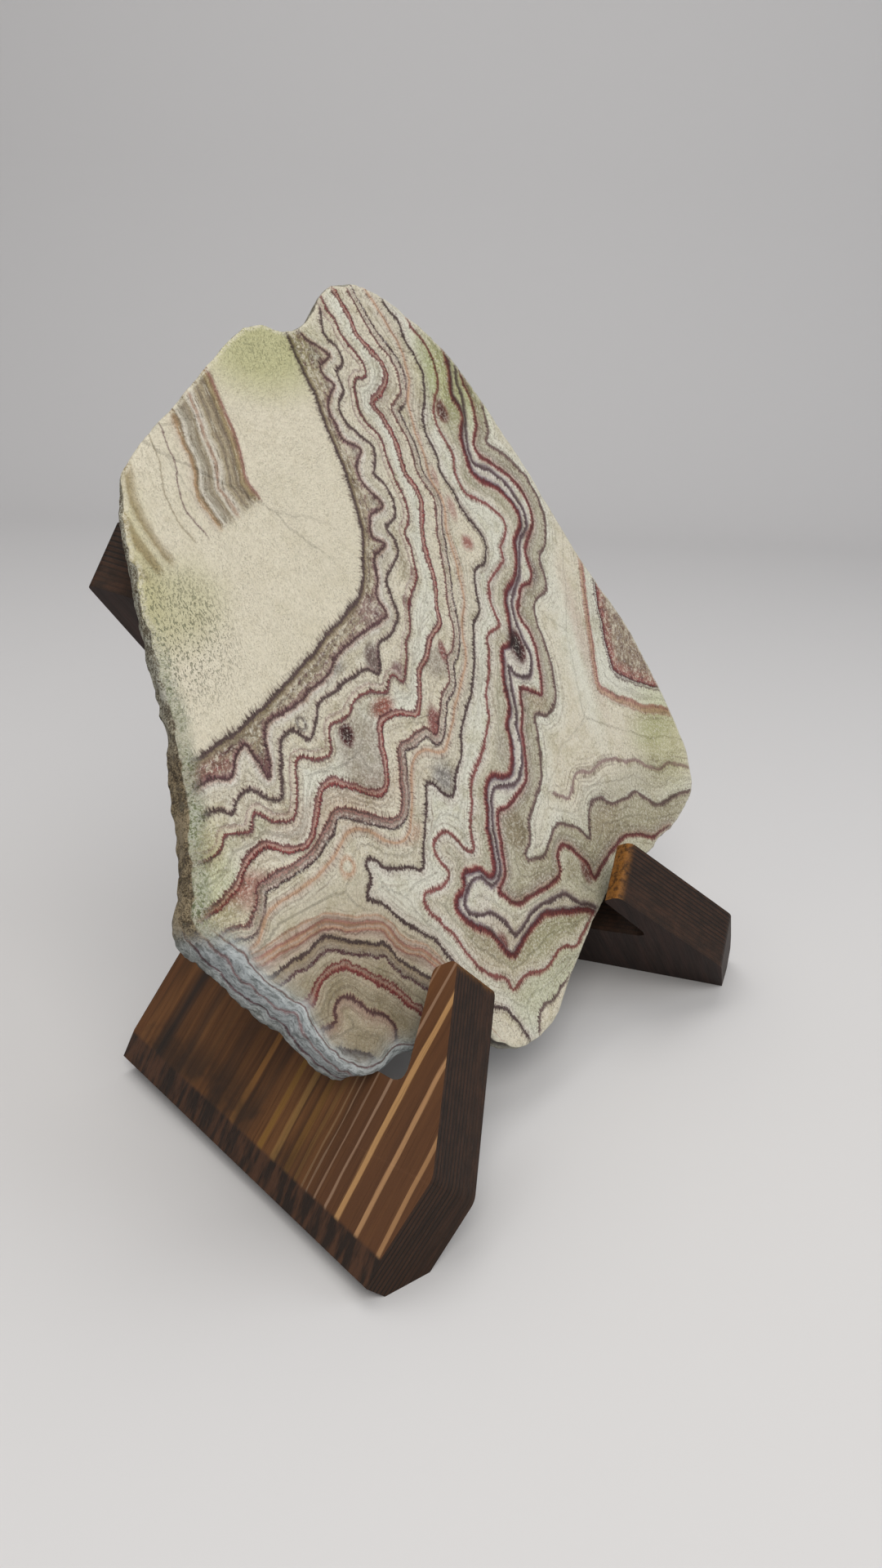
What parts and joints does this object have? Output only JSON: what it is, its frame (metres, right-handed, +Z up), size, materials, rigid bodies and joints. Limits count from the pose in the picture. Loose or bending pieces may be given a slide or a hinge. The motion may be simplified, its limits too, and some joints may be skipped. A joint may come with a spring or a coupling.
{
  "type": "banded calcite slab",
  "caption": "Thin cut slab of banded calcite with a broken natural rim, leaning on a wooden stand of two cross-lapped boards",
  "frame": {"origin": "centre of the bounding box in X and Y, on the table plane under the stand's feet", "axes": "+Z up; the slab's face looks towards -Y and up; +X is to the right as one faces the slab"},
  "size_m": [0.2466, 0.1254, 0.2221],
  "materials": {
    "calcite": "matte",
    "board_right": "satin",
    "board_left": "satin"
  },
  "bodies": {
    "root": {"calcite_slab": "calcite", "stand_board_right": "board_right", "stand_board_left": "board_left"}
  },
  "joints": []
}
